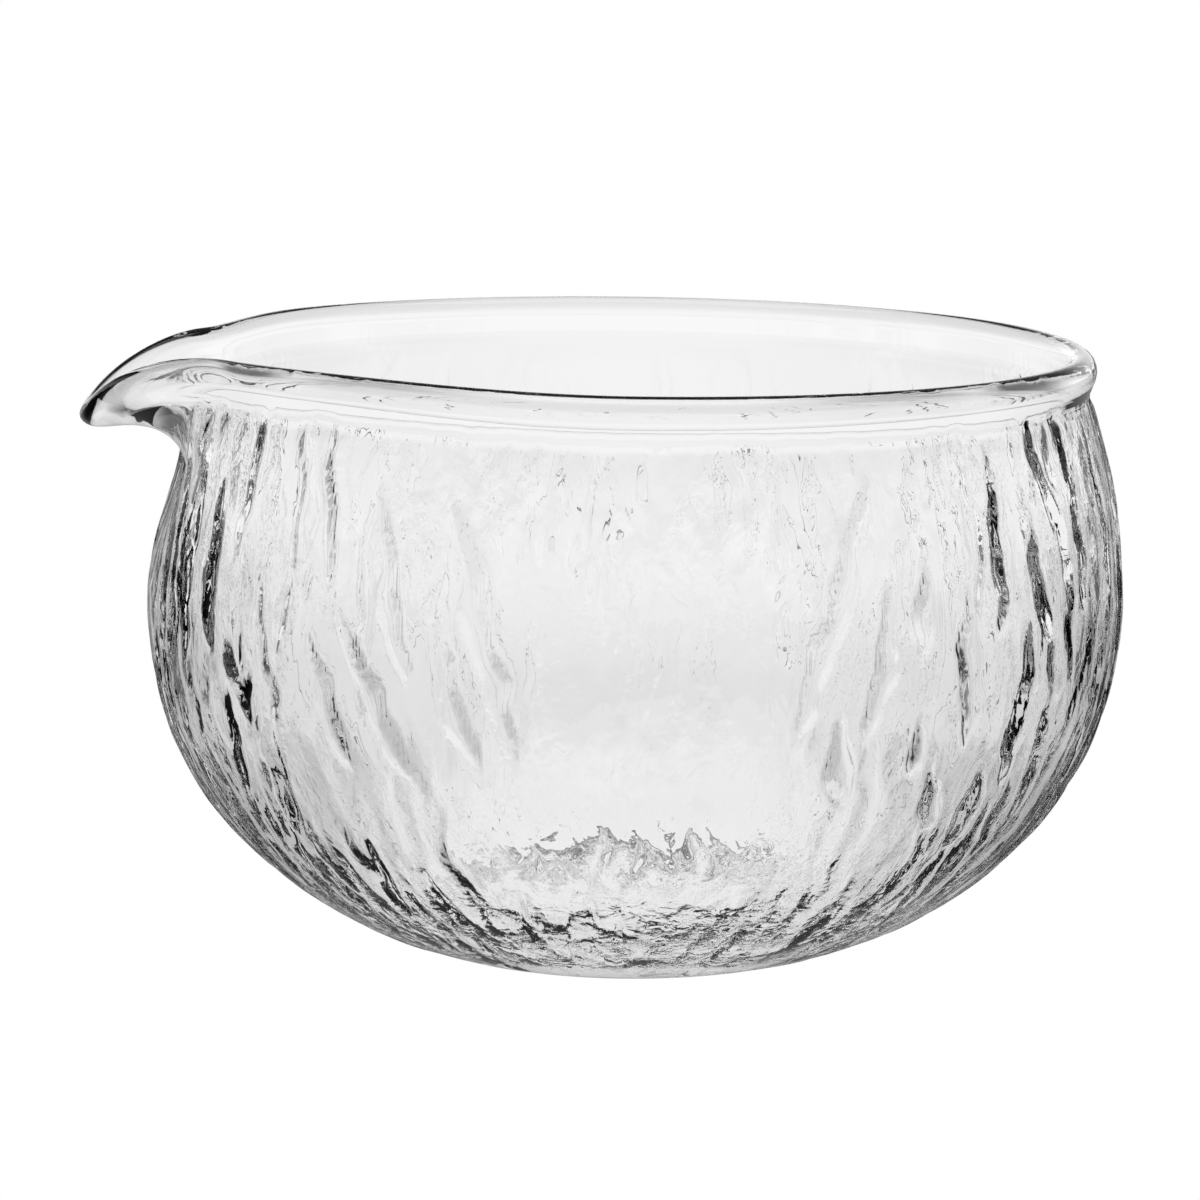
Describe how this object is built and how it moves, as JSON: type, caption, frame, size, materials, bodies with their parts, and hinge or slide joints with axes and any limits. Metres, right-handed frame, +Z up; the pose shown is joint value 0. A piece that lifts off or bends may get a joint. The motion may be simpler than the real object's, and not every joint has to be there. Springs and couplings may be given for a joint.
{
  "type": "glass matcha bowl",
  "caption": "Clear glass tea bowl with a rounded belly, bark-like vertical relief outside, a fire-polished bead at the rim and a pulled pouring lip, standing on a ground flat foot.",
  "frame": {"origin": "centre of the foot's underside, on the plane that the bowl stands on", "axes": "+Z up along the bowl's axis, -X towards the tip of the pouring lip"},
  "size_m": [0.132, 0.124, 0.0771],
  "materials": {
    "clear_glass": "clear colourless glass, fire-polished, with a bark-like moulded relief on the outside of the wall"
  },
  "bodies": {
    "root": {"base": "clear_glass", "lower_wall": "clear_glass", "belly_wall": "clear_glass", "shoulder_wall": "clear_glass", "rim_bead": "clear_glass", "pouring_lip": "clear_glass"}
  },
  "joints": []
}
